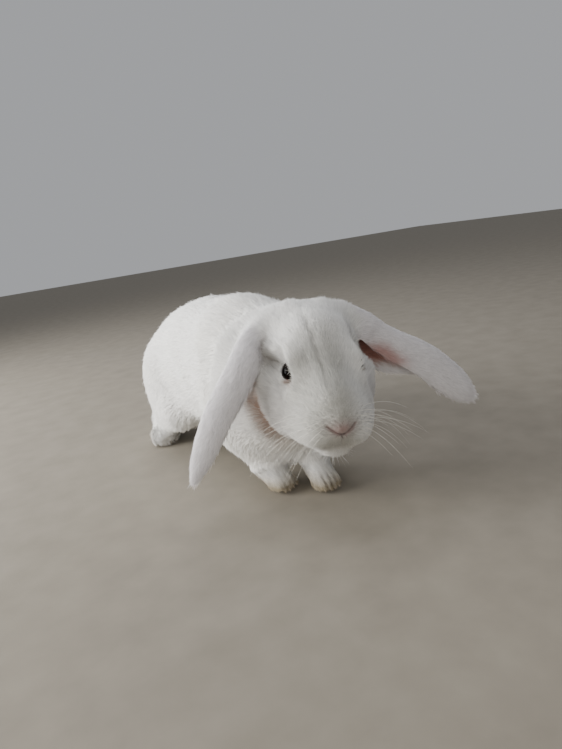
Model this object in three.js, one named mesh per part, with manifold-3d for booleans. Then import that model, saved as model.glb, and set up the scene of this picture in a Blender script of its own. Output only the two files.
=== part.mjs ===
// A lop rabbit, life size, standing low on four feet and reaching its head forward.
// Millimetres, +Z up. The rabbit faces -Y, its left side is +X, and its soles stand on Z = 0.
// The whole animal is one smooth body of blended forms, which thin cuts then part into head, neck,
// trunk, legs, feet and tail. The eyes and the ears are made on their own and let into the head.
import * as THREE from "three";
import { mergeVertices } from "three/addons/utils/BufferGeometryUtils.js";
import Module from "manifold-3d";

const wasm = await Module();
wasm.setup();

// ---------------------------------------------------------------- driving dimensions
const RIGHT = -1;
const LEFT = 1;
const GAP = 0.4; // clearance between two parts that touch

const HEAD = {
  at: [14, -20, 105.7], // midway between the eyes
  pitch: 15, // degrees that the nose points down
  yaw: -22, // degrees that the face turns to the animal's right
  roll: 2.5, // degrees that the left side is lowered
};
const EYE = { at: [20.8, -11, 6], radius: 9.4, around: 14, down: 8 };
const EAR = { thickness: 5, stations: 12, across: 7 };
const TRUNK = { halfWidth: 54, height: 162, clearance: 27 };
const HIND = { x: 37.5, soleRadius: 12 };

// The head is all in front of the nape cut and above the throat cut, both in the head's own frame.
const NAPE_CUT = { at: [0, 33, -10], normal: [0, -1, 0.35] };
const THROAT_CUT = { at: [0, -10, -51], normal: [0, -0.22, 1] };
const NECK_CUT = { at: [2, 50, 118], normal: [-0.1, -0.86, 0.5] }; // neck from trunk
const CELL = {
  head: 7.8,
  forepaw: 6.6,
  foreleg: 11,
  hindfoot: 8,
  hindleg: 15,
  tail: 9,
  torso: 20,
  cut: 20, // of the surfaces that cut the legs off
  footCut: 15,
};
const ROOM = { low: [-96, -112, -14], high: [112, 306, 192] }; // all of the animal but its ears

// ---------------------------------------------------------------- vectors
const sub = (a, b) => [a[0] - b[0], a[1] - b[1], a[2] - b[2]];
const add = (a, b) => [a[0] + b[0], a[1] + b[1], a[2] + b[2]];
const scale = (a, s) => [a[0] * s, a[1] * s, a[2] * s];
const dot = (a, b) => a[0] * b[0] + a[1] * b[1] + a[2] * b[2];
const long = (a) => Math.hypot(a[0], a[1], a[2]);
const mix = (a, b, t) => a + (b - a) * t;
const clamp = (v, low, high) => Math.min(high, Math.max(low, v));
const radians = THREE.MathUtils.degToRad;

// ---------------------------------------------------------------- forms: signed distances, negative inside
// A limb between two joints, whose radius runs from one to the other.
const limb = (a, b, ra, rb) => {
  const ab = sub(b, a);
  const square = dot(ab, ab);
  return (p) => {
    const t = clamp(dot(sub(p, a), ab) / square, 0, 1);
    return long(sub(p, add(a, scale(ab, t)))) - mix(ra, rb, t);
  };
};

// An ellipsoid, turned by degrees about X, Y and Z.
const mass = (centre, radii, turn = [0, 0, 0]) => {
  const euler = new THREE.Euler(...turn.map(radians), "ZYX");
  const m = new THREE.Matrix4().makeRotationFromEuler(euler).transpose().elements;
  return (p) => {
    const [x, y, z] = sub(p, centre);
    const q = [0, 1, 2].map((i) => (m[i] * x + m[4 + i] * y + m[8 + i] * z) / radii[i]);
    const near = Math.max(long(q), 1e-6);
    return (near * (near - 1)) / long([q[0] / radii[0], q[1] / radii[1], q[2] / radii[2]]);
  };
};

// Flesh: two forms melt together over the width k.
const melt = (a, b, k) => {
  const h = Math.max(k - Math.abs(a - b), 0) / k;
  return Math.min(a, b) - (h * h * k) / 4;
};
const flesh = (k, ...forms) => (p) => forms.reduce((d, form) => melt(d, form(p), k), 1e6);
const hollowed = (k, form, hollow) => (p) => -melt(-form(p), hollow(p), k);
const both = (make) => [make(RIGHT), make(LEFT)];

// ---------------------------------------------------------------- head
// In its own frame, whose origin is midway between the eyes.
const headTurn = new THREE.Euler(radians(HEAD.pitch), radians(HEAD.roll), radians(HEAD.yaw), "ZXY");
const headFrame = new THREE.Matrix4()
  .makeRotationFromEuler(headTurn)
  .setPosition(...HEAD.at);
const headInverse = headFrame.clone().invert().elements;
const toHead = ([x, y, z]) =>
  [0, 1, 2].map(
    (i) => headInverse[i] * x + headInverse[4 + i] * y + headInverse[8 + i] * z + headInverse[12 + i],
  );

function headForm() {
  const skull = flesh(
    17,
    mass([0, 18, 7], [32, 38, 37]), // cranium
    limb([0, 2, 7], [0, -43, -5], 26, 19), // forehead to the bridge of the nose
    mass([0, -6, -25], [27, 43, 26]), // jaw
    ...both((s) => mass([s * 25, 13, -22], [19, 30, 25], [0, 0, s * 12])), // cheek
    ...both((s) => mass([s * 18, -30, -24], [15, 22, 18])), // front of the cheek
  );
  const face = flesh(
    8,
    skull,
    mass([0, -45, -17], [23, 20, 19]), // muzzle
    ...both((s) => mass([s * 12, -51, -22], [13, 14, 12])), // whisker pad
    limb([0, -56, -10], [0, -60, -14], 8.4, 7.6), // nose
    mass([0, -41, -40], [13, 15, 10]), // chin
    ...both((s) => mass([s * 19, -10, 17], [10, 15, 8.5], [20, 0, s * 12])), // brow
    ...both((s) => limb([s * 12, 32, 29], [s * 29.5, 32, 21], 14, 12.6)), // crown, where the ear springs from
  );
  const dishes = both((s) => mass([s * 40, -12, 5], [12, 18, 11], [20, 0, s * 16])); // about the eye
  return hollowed(7, face, (p) => Math.min(...dishes.map((dish) => dish(p))));
}

// ---------------------------------------------------------------- neck and trunk
const neckForm = () =>
  flesh(
    20,
    limb([3, 68, 112], [13, 24, 116], 44, 34), // nape
    limb([0, 50, 74], [8, 2, 76], 36, 22), // throat
  );

function trunkForm() {
  const middle = (TRUNK.height + TRUNK.clearance) / 2;
  const halfHeight = (TRUNK.height - TRUNK.clearance) / 2;
  return flesh(
    26,
    mass([0, 72, middle + 1], [TRUNK.halfWidth - 12, 60, halfHeight - 4]), // rib cage
    mass([0, 136, middle], [TRUNK.halfWidth, 82, halfHeight]), // belly
    mass([0, 203, middle - 8], [TRUNK.halfWidth - 5, 63, halfHeight - 6]), // rump
    mass([0, 34, 60], [35, 36, 35]), // breast
    ...both((s) => mass([s * 27, 50, 84], [17, 36, 42], [-12, 0, s * 6])), // shoulder
  );
}

// ---------------------------------------------------------------- legs
// Toes that fan out ahead of the ball of a foot.
function toes(ball, heading, { count, spread, length, rootRadius, tipRadius }) {
  const ahead = [Math.sin(radians(heading)), -Math.cos(radians(heading)), 0];
  const aside = [-ahead[1], ahead[0], 0];
  return Array.from({ length: count }, (_, n) => {
    const i = n - (count - 1) / 2;
    const root = add(ball, scale(aside, i * spread));
    const tip = add(root, add(scale(ahead, length - Math.abs(i) * 2.6), scale(aside, i * 1.6)));
    return limb(root, [tip[0], tip[1], tipRadius - 0.2], rootRadius, tipRadius);
  });
}

const FORE_TOES = { count: 3, spread: 5, length: 10, rootRadius: 8, tipRadius: 6.6 };
const HIND_TOES = { count: 4, spread: 5.4, length: 15, rootRadius: 8.2, tipRadius: 6.8 };

const foreleg = (side, { shoulder, elbow, wrist, ball, heading }) => {
  const out = (p) => add(p, [side * 11, 0, 0]);
  const paw = flesh(5, limb(wrist, ball, 12.5, 10), flesh(2.5, ...toes(ball, heading, FORE_TOES)));
  const arm = flesh(14, limb(shoulder, elbow, 24, 19.5), limb(elbow, wrist, 19, 13));
  return {
    paw,
    whole: flesh(8, arm, paw),
    pawCut: limb(add(wrist, [0, 0, -7]), add(ball, [0, -10, 0]), 20, 20),
    cut: flesh(4, limb(out(shoulder), out(elbow), 30, 28), limb(out(elbow), ball, 28, 24)),
  };
};

const hindleg = (side, { knee, hock, ball, heading, thigh }) => {
  const foot = limb(hock, ball, HIND.soleRadius, 10.5);
  const paw = flesh(6, foot, flesh(2.5, ...toes(ball, heading, HIND_TOES)));
  const haunch = flesh(16, mass(thigh, [27, 55, 50], [-14, 0, side * 4]), limb(knee, hock, 18, 13));
  return {
    paw,
    whole: flesh(9, haunch, paw),
    pawCut: limb(add(hock, [0, 4, -2]), add(ball, [0, -14, 0]), 19, 18),
    cut: flesh(4, mass(add(thigh, [side * 14, 0, -4]), [36, 60, 58]), limb(knee, hock, 26, 24)),
  };
};

const foreRight = foreleg(RIGHT, {
  shoulder: [-27, 46, 80],
  elbow: [-24, 56, 55],
  wrist: [-17, 34, 20],
  ball: [-15, 22, 8.4],
  heading: 16,
});
const foreLeft = foreleg(LEFT, {
  shoulder: [29, 38, 82],
  elbow: [31, 50, 46],
  wrist: [17, 14, 20],
  ball: [13.5, -4, 8.4],
  heading: -4,
});
const [hindRight, hindLeft] = both((s) =>
  hindleg(s, {
    thigh: [s * HIND.x, 204, 70],
    knee: [s * 46, 160, 46],
    hock: [s * 37, 262, 16],
    ball: [s * 52, 226, 9.6],
    heading: s * 12,
  }),
);
const tail = limb([0, 260, 70], [0, 266, 96], 14.5, 12.5);

// ---------------------------------------------------------------- the whole body
const head = headForm();
const headOwn = (p) => head(toHead(p));
const torso = flesh(30, trunkForm(), neckForm());
const limbs = [
  { form: foreRight.whole, k: 15 },
  { form: foreLeft.whole, k: 15 },
  { form: hindRight.whole, k: 16 },
  { form: hindLeft.whole, k: 16 },
  { form: tail, k: 8 },
];
const body = (p) => {
  const core = melt(torso(p), headOwn(p), 20);
  return Math.min(...limbs.map(({ form, k }) => melt(core, form(p), k)));
};

// ---------------------------------------------------------------- meshing
const slope = (field, p, step = 0.05) =>
  [0, 1, 2].map((axis) => {
    const ahead = [...p];
    const behind = [...p];
    ahead[axis] += step;
    behind[axis] -= step;
    return (field(ahead) - field(behind)) / (2 * step);
  });

// Lays a point onto the surface, without letting it stray far.
function settle(field, start, leash) {
  let p = start;
  for (let turn = 0; turn < 4; turn++) {
    const g = slope(field, p);
    p = sub(p, scale(g, field(p) / Math.max(dot(g, g), 0.05)));
  }
  return long(sub(p, start)) < leash ? p : start;
}

function indexed(points, triangles) {
  return new THREE.BufferGeometry()
    .setAttribute("position", new THREE.Float32BufferAttribute(points.flat(), 3))
    .setIndex(triangles);
}

// The closed surface of a field inside a box, as a net of quads with one point in each crossed cell.
function surfaceOf(field, { low, high }, cell) {
  const count = low.map((v, i) => Math.ceil((high[i] - v) / cell) + 1);
  const index = (i, j, k) => i + count[0] * (j + count[1] * k);
  const place = (i, j, k) => [low[0] + i * cell, low[1] + j * cell, low[2] + k * cell];
  const value = new Float32Array(count[0] * count[1] * count[2]);
  for (let k = 0; k < count[2]; k++)
    for (let j = 0; j < count[1]; j++)
      for (let i = 0; i < count[0]; i++) {
        const rim = [i, j, k].some((v, axis) => v === 0 || v === count[axis] - 1);
        const d = field(place(i, j, k));
        value[index(i, j, k)] = rim ? Math.max(d, cell / 2) : d;
      }
  const corners = [0, 1, 2, 3, 4, 5, 6, 7].map((c) => [c & 1, (c >> 1) & 1, c >> 2]);
  const edges = corners.flatMap((a, m) =>
    corners.slice(m + 1).filter((b) => long(sub(a, b)) === 1).map((b) => [a, b]),
  );
  const points = [];
  const pointOf = new Int32Array(value.length).fill(-1);
  for (let k = 0; k < count[2] - 1; k++)
    for (let j = 0; j < count[1] - 1; j++)
      for (let i = 0; i < count[0] - 1; i++) {
        const crossings = [];
        for (const [a, b] of edges) {
          const va = value[index(i + a[0], j + a[1], k + a[2])];
          const vb = value[index(i + b[0], j + b[1], k + b[2])];
          if (va < 0 !== vb < 0) {
            const t = va / (va - vb);
            crossings.push(a.map((v, axis) => mix(v, b[axis], t)));
          }
        }
        if (!crossings.length) continue;
        const mean = scale(crossings.reduce(add), cell / crossings.length);
        pointOf[index(i, j, k)] = points.length;
        points.push(settle(field, add(place(i, j, k), mean), cell * 0.6));
      }
  const triangles = [];
  const quad = (a, b, c, d, flipped) => {
    const shortAC = long(sub(points[a], points[c])) < long(sub(points[b], points[d]));
    const pair = shortAC ? [[a, b, c], [a, c, d]] : [[a, b, d], [b, c, d]];
    for (const t of pair) triangles.push(...(flipped ? [t[0], t[2], t[1]] : t));
  };
  for (let k = 0; k < count[2] - 1; k++)
    for (let j = 0; j < count[1] - 1; j++)
      for (let i = 0; i < count[0] - 1; i++)
        for (const axis of [0, 1, 2]) {
          const step = [0, 0, 0];
          step[axis] = 1;
          const here = value[index(i, j, k)] < 0;
          const next = value[index(i + step[0], j + step[1], k + step[2])] < 0;
          const [u, v] = [(axis + 1) % 3, (axis + 2) % 3];
          if (here === next || !([i, j, k][u] && [i, j, k][v])) continue;
          const ring = [[0, 0], [1, 0], [1, 1], [0, 1]].map(([du, dv]) => {
            const cellAt = [i, j, k];
            cellAt[u] -= du;
            cellAt[v] -= dv;
            return pointOf[index(...cellAt)];
          });
          quad(...ring, !here);
        }
  return indexed(points, triangles);
}

// ---------------------------------------------------------------- solids
function solid(geometry) {
  const bare = geometry.clone();
  bare.deleteAttribute("normal");
  bare.deleteAttribute("uv");
  const merged = mergeVertices(bare, 1e-4);
  return new wasm.Manifold(
    new wasm.Mesh({
      numProp: 3,
      vertProperties: merged.attributes.position.array,
      triVerts: new Uint32Array(merged.index.array),
    }),
  );
}

// The same closed surface, moved out along its normals.
function grown(geometry, by) {
  const wide = geometry.clone();
  wide.computeVertexNormals();
  const { position, normal } = wide.attributes;
  for (let i = 0; i < position.count; i++)
    position.setXYZ(
      i,
      position.getX(i) + normal.getX(i) * by,
      position.getY(i) + normal.getY(i) * by,
      position.getZ(i) + normal.getZ(i) * by,
    );
  return wide;
}

const largest = (made) => made.decompose().sort((a, b) => b.volume() - a.volume())[0];

function geometryOf(made, frame) {
  const mesh = made.getMesh();
  const geometry = new THREE.BufferGeometry()
    .setAttribute("position", new THREE.BufferAttribute(new Float32Array(mesh.vertProperties), 3))
    .setIndex(new THREE.BufferAttribute(new Uint32Array(mesh.triVerts), 1));
  if (frame) geometry.applyMatrix4(frame.clone().invert());
  geometry.computeVertexNormals();
  return geometry;
}

// A thick slab whose face passes through a point, and which lies on the normal's side of it.
function slab({ at, normal }, setback = 0) {
  const n = new THREE.Vector3(...normal).normalize();
  const size = 900;
  const turn = new THREE.Quaternion().setFromUnitVectors(new THREE.Vector3(0, 0, 1), n);
  const centre = new THREE.Vector3(...at).addScaledVector(n, size / 2 + setback);
  return new THREE.BoxGeometry(size, size, size).applyQuaternion(turn).translate(...centre);
}
const behind = ({ at, normal }) => ({ at, normal: normal.map((v) => -v) });

// ---------------------------------------------------------------- ears
// A lop ear: a leaf of cartilage rolled lengthwise into a flattened tube, which is open along one side.
// route is its centre line in the head's frame and out the way its broad back faces. span gives the
// degrees of the roll where the leaf starts and ends, at the root and at the tip, deep how thick the
// roll is, and unrolls how late it opens: 1 is steadily, and more is near the tip.
function ear({ side, halfWidth, root, route, out, span, unrolls, deep }, by = 0) {
  const line = new THREE.CatmullRomCurve3(route.map((p) => new THREE.Vector3(...p)));
  const { thickness, stations, across } = EAR;
  const facing = new THREE.Vector3(...out);
  const points = [];
  for (let n = 0; n < stations; n++) {
    const t = n / (stations - 1);
    const along = line.getTangentAt(t);
    const back = facing.clone().addScaledVector(along, -along.dot(facing)).normalize();
    const aside = new THREE.Vector3().crossVectors(back, along).multiplyScalar(side);
    const overrun = n === 0 ? -by : n === stations - 1 ? by : 0;
    const at = line.getPointAt(t).addScaledVector(along, overrun);
    const swell = mix(root, 1, Math.sin(Math.min(t / 0.3, 1) * (Math.PI / 2)));
    const taper = Math.sqrt(1 - Math.pow(Math.max(t - 0.3, 0) / 0.71, 1.6));
    const [start, end] = [0, 1].map((k) => radians(mix(span[0][k], span[1][k], t ** unrolls)));
    const broad = ((halfWidth * 2) / (end - start)) * swell * taper * 1.12;
    const depth = broad * mix(deep[0], deep[1], t);
    const thick = thickness * mix(1.1, 0.85, t) * Math.min(1, 0.4 + taper);
    for (let m = 0; m < across * 2; m++) {
      const outer = m < across;
      const u = ((outer ? m : across * 2 - 1 - m) / (across - 1)) * 2 - 1;
      const bulge = Math.sqrt(Math.max(1 - u * u * 0.86, 0)) * (thick / 2) + by;
      const angle = mix(start, end, (u + 1) / 2) + Math.sign(u) * Math.abs(u) * (by / broad);
      const normal = new THREE.Vector2(Math.cos(angle) / depth, Math.sin(angle) / broad).normalize();
      const offset = outer ? bulge : -bulge;
      points.push(
        at
          .clone()
          .addScaledVector(back, depth * Math.cos(angle) + normal.x * offset)
          .addScaledVector(aside, broad * Math.sin(angle) + normal.y * offset)
          .toArray(),
      );
    }
  }
  const ring = across * 2;
  const triangles = [];
  const face = (a, b, c) => triangles.push(...(side === LEFT ? [a, b, c] : [a, c, b]));
  for (let n = 0; n < stations - 1; n++)
    for (let m = 0; m < ring; m++) {
      const [a, b] = [n * ring + m, n * ring + ((m + 1) % ring)];
      face(a, b + ring, b);
      face(a, a + ring, b + ring);
    }
  for (let m = 0; m < across - 1; m++) {
    const [a, b, c, d] = [m, m + 1, ring - 2 - m, ring - 1 - m];
    const end = (stations - 1) * ring;
    face(a, b, c);
    face(a, c, d);
    face(end + a, end + c, end + b);
    face(end + a, end + d, end + c);
  }
  return indexed(points, triangles);
}

const ears = {
  ear_right: {
    side: RIGHT,
    halfWidth: 22,
    root: 0.72,
    route: [
      [-15, 35, 26],
      [-35, 30, 24],
      [-48, 18, 15],
      [-58, 7, 3],
      [-68, 0, -10],
      [-81, -7, -27],
      [-98, -16, -57],
      [-107, -20, -73],
    ],
    out: [-0.3, -0.85, 0.45],
    span: [[-70, 190], [-75, 100]],
    unrolls: 1,
    deep: [0.8, 0.5],
  },
  ear_left: {
    side: LEFT,
    halfWidth: 41,
    root: 1,
    route: [
      [14, 34, 23],
      [34, 32, 15],
      [51, 28, 1],
      [70, 24, -10],
      [89, 20, -19],
      [106, 16, -31],
      [121, 12, -42],
      [135, 8, -52.5],
    ],
    out: [-0.1, -0.87, 0.49],
    span: [[-14, 272], [-80, 110]],
    unrolls: 2,
    deep: [0.62, 0.42],
  },
};

// ---------------------------------------------------------------- parting the body
const above = solid(slab({ at: [0, 0, 0], normal: [0, 0, 1] }));
const inHeadFrame = (geometry) => solid(geometry.applyMatrix4(headFrame));
const headSide = (setback) =>
  inHeadFrame(slab(NAPE_CUT, setback)).intersect(inHeadFrame(slab(THROAT_CUT, setback)));
const boxOf = (geometry, margin) => {
  geometry.computeBoundingBox();
  const { min, max } = geometry.boundingBox;
  return {
    low: min.toArray().map((v) => v - margin),
    high: max.toArray().map((v) => v + margin),
  };
};
const bodyIn = (box, cell) => solid(surfaceOf(body, box, cell)).intersect(above);

// The feet, the legs and the tail, in the order they are cut: each leaves a gap to those cut after it.
const legCuts = (end, side, leg) => [
  {
    name: `${end.foot}_${side.name}`,
    side: side.sign,
    cut: leg.pawCut,
    cell: end.footCell,
    cutCell: CELL.footCut,
  },
  {
    name: `${end.leg}_${side.name}`,
    side: side.sign,
    cut: leg.cut,
    cell: end.legCell,
    cutCell: CELL.cut,
  },
];
const right = { name: "right", sign: RIGHT };
const left = { name: "left", sign: LEFT };
const fore = { foot: "forepaw", footCell: CELL.forepaw, leg: "foreleg", legCell: CELL.foreleg };
const hind = { foot: "hindfoot", footCell: CELL.hindfoot, leg: "hindleg", legCell: CELL.hindleg };
const tailCut = limb([0, 268, 68], [0, 272, 102], 20, 18);
const plan = [
  ...legCuts(fore, right, foreRight),
  ...legCuts(fore, left, foreLeft),
  ...legCuts(hind, right, hindRight),
  ...legCuts(hind, left, hindLeft),
  { name: "tail", cut: tailCut, cell: CELL.tail, cutCell: CELL.footCut },
];

const headBox = boxOf(surfaceOf(headOwn, ROOM, CELL.cut), 28);
const parts = { head: bodyIn(headBox, CELL.head).intersect(headSide(0)) };
const taken = [headSide(-GAP)];
for (const { name, cut, side, cell, cutCell } of plan) {
  const cutter = surfaceOf(cut, ROOM, cutCell);
  let free = bodyIn(boxOf(cutter, cell), cell).intersect(solid(cutter));
  if (side) free = free.intersect(solid(slab({ at: [0, 0, 0], normal: [side, 0, 0] }, GAP / 2)));
  parts[name] = largest(taken.reduce((rest, wide) => rest.subtract(wide), free));
  taken.push(solid(grown(cutter, GAP)));
}
const remains = taken.reduce((rest, wide) => rest.subtract(wide), bodyIn(ROOM, CELL.torso));
parts.neck = largest(remains.intersect(solid(slab(NECK_CUT, GAP))));
parts.trunk = largest(remains.intersect(solid(slab(behind(NECK_CUT)))));

// The eyes and the ears are let into the head.
const eyes = both((s) => ({
  name: s === RIGHT ? "eye_right" : "eye_left",
  at: [s * EYE.at[0], EYE.at[1], EYE.at[2]],
}));
const ball = (radius) => new THREE.SphereGeometry(radius, EYE.around, EYE.down);
for (const { at } of eyes)
  parts.head = parts.head.subtract(inHeadFrame(ball(EYE.radius + GAP).translate(...at)));
for (const form of Object.values(ears))
  for (const name of ["head", "neck", "trunk", "foreleg_right"])
    parts[name] = largest(parts[name].subtract(inHeadFrame(ear(form, GAP))));

// ---------------------------------------------------------------- materials
const coat = new THREE.MeshStandardMaterial({ color: 0xe9e8e4, roughness: 0.95, metalness: 0 });
const eyeGloss = new THREE.MeshStandardMaterial({ color: 0x0d0a09, roughness: 0.08, metalness: 0 });

// ---------------------------------------------------------------- the model
function piece(name, geometry, material) {
  const mesh = new THREE.Mesh(geometry, material);
  mesh.name = name;
  return mesh;
}

const rabbit = new THREE.Group();
const headGroup = new THREE.Group();
headGroup.position.set(...HEAD.at);
headGroup.quaternion.setFromEuler(headTurn);
rabbit.add(headGroup);

for (const [name, made] of Object.entries(parts)) {
  if (name === "head") headGroup.add(piece(name, geometryOf(made, headFrame), coat));
  else rabbit.add(piece(name, geometryOf(made), coat));
}
for (const { name, at } of eyes) {
  const eye = piece(name, ball(EYE.radius), eyeGloss);
  eye.position.set(...at);
  headGroup.add(eye);
}
for (const [name, form] of Object.entries(ears)) headGroup.add(piece(name, ear(form), coat));

// The origin is on the floor, under the middle of the animal.
rabbit.updateMatrixWorld(true);
const box = new THREE.Box3().setFromObject(rabbit, true);
rabbit.position.set(-(box.min.x + box.max.x) / 2, -(box.min.y + box.max.y) / 2, 0);

export default rabbit;
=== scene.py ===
# %% [markdown]
# # A lop rabbit, life size
#
# This notebook dresses a plain solid rabbit. The solids already stand in their pose and give the true
# outline, out to the tips of the fur. Under a real coat lies one continuous skin, so the work goes in
# that order: the skin, the face, the colours, the fur, and last the eyes, whiskers and claws.
#
# Lengths are metres in Blender. Where an anatomist would think in millimetres, so does the script, and
# the factor MM turns them.

# %% The frame
import math

import bmesh
import bpy
import numpy as np
from mathutils import Matrix, Vector
from mathutils.bvhtree import BVHTree


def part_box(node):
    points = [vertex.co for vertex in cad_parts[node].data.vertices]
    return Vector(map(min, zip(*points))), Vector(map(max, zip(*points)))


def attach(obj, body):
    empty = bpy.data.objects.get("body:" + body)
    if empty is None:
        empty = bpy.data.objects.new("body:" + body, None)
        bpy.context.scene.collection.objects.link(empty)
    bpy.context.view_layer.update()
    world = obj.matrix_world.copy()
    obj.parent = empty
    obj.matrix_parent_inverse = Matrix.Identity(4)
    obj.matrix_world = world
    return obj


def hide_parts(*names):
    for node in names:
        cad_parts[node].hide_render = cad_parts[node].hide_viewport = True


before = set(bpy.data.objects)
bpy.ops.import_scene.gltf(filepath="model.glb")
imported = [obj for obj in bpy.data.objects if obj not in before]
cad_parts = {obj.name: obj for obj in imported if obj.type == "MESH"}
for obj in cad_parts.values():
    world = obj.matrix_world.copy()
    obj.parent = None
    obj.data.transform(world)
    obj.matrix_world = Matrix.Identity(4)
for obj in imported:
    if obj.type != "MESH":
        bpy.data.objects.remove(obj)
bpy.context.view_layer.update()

MM = 0.001
EYES = ["eye_right", "eye_left"]
FLESH = sorted(set(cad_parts) - set(EYES))
print("flesh:", ", ".join(FLESH))

# %% [markdown]
# ## Small helpers
#
# Colours are written as the hex values that a colour picker shows. Blender mixes light in linear
# values, so one function turns them. Arrays of points are kept in numpy, because this coat has nearly
# two hundred thousand locks, and a Python loop over each of their corners would take minutes.


# %% Helpers for colours, nodes and meshes
def linear(hex_colour):
    """The linear values of an sRGB hex colour."""
    srgb = [int(hex_colour[i : i + 2], 16) / 255 for i in (1, 3, 5)]
    return np.array([c / 12.92 if c <= 0.04045 else ((c + 0.055) / 1.055) ** 2.4 for c in srgb])


def add_node(tree, kind, links=None, **settings):
    """Adds a node. links maps an input's name or number to a socket or a value."""
    node = tree.nodes.new(kind)
    for key, value in settings.items():
        setattr(node, key, value)
    for key, value in (links or {}).items():
        if isinstance(value, bpy.types.NodeSocket):
            tree.links.new(value, node.inputs[key])
        else:
            node.inputs[key].default_value = value
    return node


def new_material(name):
    """A material without nodes, and its tree."""
    material = bpy.data.materials.new(name)
    material.use_nodes = True
    material.node_tree.nodes.clear()
    return material, material.node_tree


def unit(vectors):
    """Each row at length one."""
    return vectors / np.maximum(np.linalg.norm(vectors, axis=-1, keepdims=True), 1e-12)


def smooth_step(low, high, value):
    """0 below low, 1 above high, and a soft ramp between them. low may be the larger."""
    t = np.clip((value - low) / (high - low), 0, 1)
    return t * t * (3 - 2 * t)


def bell(distance, width):
    """1 where the distance is 0, and falling off softly over the width."""
    return np.exp(-((distance / width) ** 2))


def placed(name, data):
    """A new object of the scene."""
    thing = bpy.data.objects.new(name, data)
    bpy.context.scene.collection.objects.link(thing)
    return thing


def mesh_piece(name, points, triangles, material):
    """A smooth-shaded object at the origin, from arrays of points and triangles."""
    mesh = bpy.data.meshes.new(name)
    mesh.vertices.add(len(points))
    mesh.vertices.foreach_set("co", np.asarray(points, np.float32).ravel())
    mesh.loops.add(triangles.size)
    mesh.loops.foreach_set("vertex_index", triangles.astype(np.int32).ravel())
    mesh.polygons.add(len(triangles))
    mesh.polygons.foreach_set("loop_start", np.arange(0, triangles.size, 3, dtype=np.int32))
    mesh.update(calc_edges=True)
    mesh.shade_smooth()
    mesh.materials.append(material)
    return placed(name, mesh)


def paint(piece, colours):
    """Stores a linear colour for each vertex, as the attribute that fur and skin read."""
    layer = piece.data.color_attributes.new("marking", "FLOAT_COLOR", "POINT")
    rgba = np.ones((len(colours), 4), np.float32)
    rgba[:, :3] = colours
    layer.data.foreach_set("color", rgba.ravel())


# %% [markdown]
# ## The camera
#
# It stands low in front of the animal, a little to its right, tilted down and turned clockwise about
# its own line of sight, as a hand-held telephone is.

# %% The camera
CAMERA_AT = (-0.2307, -0.4622, 0.210)
CAMERA_TURN = (-28.0, 14.5, 8.7)  # degrees: to the side, down, clockwise
LENS = 26.0  # mm, on a 36 mm sensor along the long side

yaw, down, clockwise = (math.radians(v) for v in CAMERA_TURN)
aim = (
    Matrix.Rotation(yaw, 4, "Z")
    @ Matrix.Rotation(math.pi / 2 - down, 4, "X")
    @ Matrix.Rotation(-clockwise, 4, "Z")
)
camera = placed("camera", bpy.data.cameras.new("camera"))
camera.data.sensor_width = 36
camera.data.lens = LENS
camera.matrix_world = Matrix.Translation(CAMERA_AT) @ aim
bpy.context.scene.camera = camera
print("camera at", CAMERA_AT, "with a lens of", LENS, "mm")

# %% [markdown]
# ## Floor and light
#
# A white animal needs a floor that is darker than its coat, and one broad light from the side, a
# little behind it, so that the flank is bright, the face is in half shade and the fur shows its relief.
# The other lights only open the shadows.


# %% Floor and light
def area_light(name, at, size, power, colour):
    """A square soft light that looks at the middle of the animal."""
    light = bpy.data.lights.new(name, "AREA")
    light.size = size
    light.energy = power
    light.color = linear(colour)
    lamp = placed(name, light)
    lamp.location = at
    lamp.rotation_mode = "QUATERNION"
    lamp.rotation_quaternion = (Vector((0, 0, 0.08)) - Vector(at)).to_track_quat("-Z", "Y")


area_light("window_light", (-1.12, 0.58, 0.42), 0.9, 40, "#fffefb")
area_light("room_light", (-0.7, -0.9, 0.45), 0.6, 3.5, "#fff9ee")
area_light("sky_light", (0.0, 0.5, 1.35), 0.9, 9, "#f6f8ff")

world = bpy.data.worlds.new("soft_room")
world.use_nodes = True
world.node_tree.nodes["Background"].inputs["Color"].default_value = (*linear("#e6e8ec"), 1)
world.node_tree.nodes["Background"].inputs["Strength"].default_value = 0.5
bpy.context.scene.world = world

FLOOR_REACH = 6.0
STAIN = 30 * MM  # the size of the floor's darker and paler stains

floor_material, tree = new_material("worn_concrete")
place = add_node(tree, "ShaderNodeTexCoord").outputs["Object"]
wear = add_node(tree, "ShaderNodeTexNoise", {"Vector": place, "Scale": 1 / STAIN, "Detail": 6.0})
worn = add_node(
    tree,
    "ShaderNodeMix",
    {0: wear.outputs["Fac"], 6: (*linear("#766f63"), 1), 7: (*linear("#8f887b"), 1)},
    data_type="RGBA",
)
shader = add_node(tree, "ShaderNodeBsdfPrincipled", {"Base Color": worn.outputs[2], "Roughness": 0.85})
add_node(tree, "ShaderNodeOutputMaterial", {"Surface": shader.outputs[0]})
corners = np.array([[-1, -1, 0], [1, -1, 0], [1, 1, 0], [-1, 1, 0]]) * FLOOR_REACH
floor = mesh_piece("floor", corners, np.array([[0, 1, 2], [0, 2, 3]]), floor_material)

# %% [markdown]
# ## The head's own directions
#
# A face is easier to model in its own directions: X to the animal's left, Y to the back of the head, Z
# to the crown. The solids' eyes tell where the head is, and its three turns are stated here.

# %% The head's own directions
HEAD_TURN = (-22.0, 15.0, 2.5)  # degrees: face to its right, nose down, left side down
EYE_RADIUS = 9.4  # mm
EYE_PLACE = np.array([20.8, -11.0, 6.0])  # the left eye's centre, mm

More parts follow.
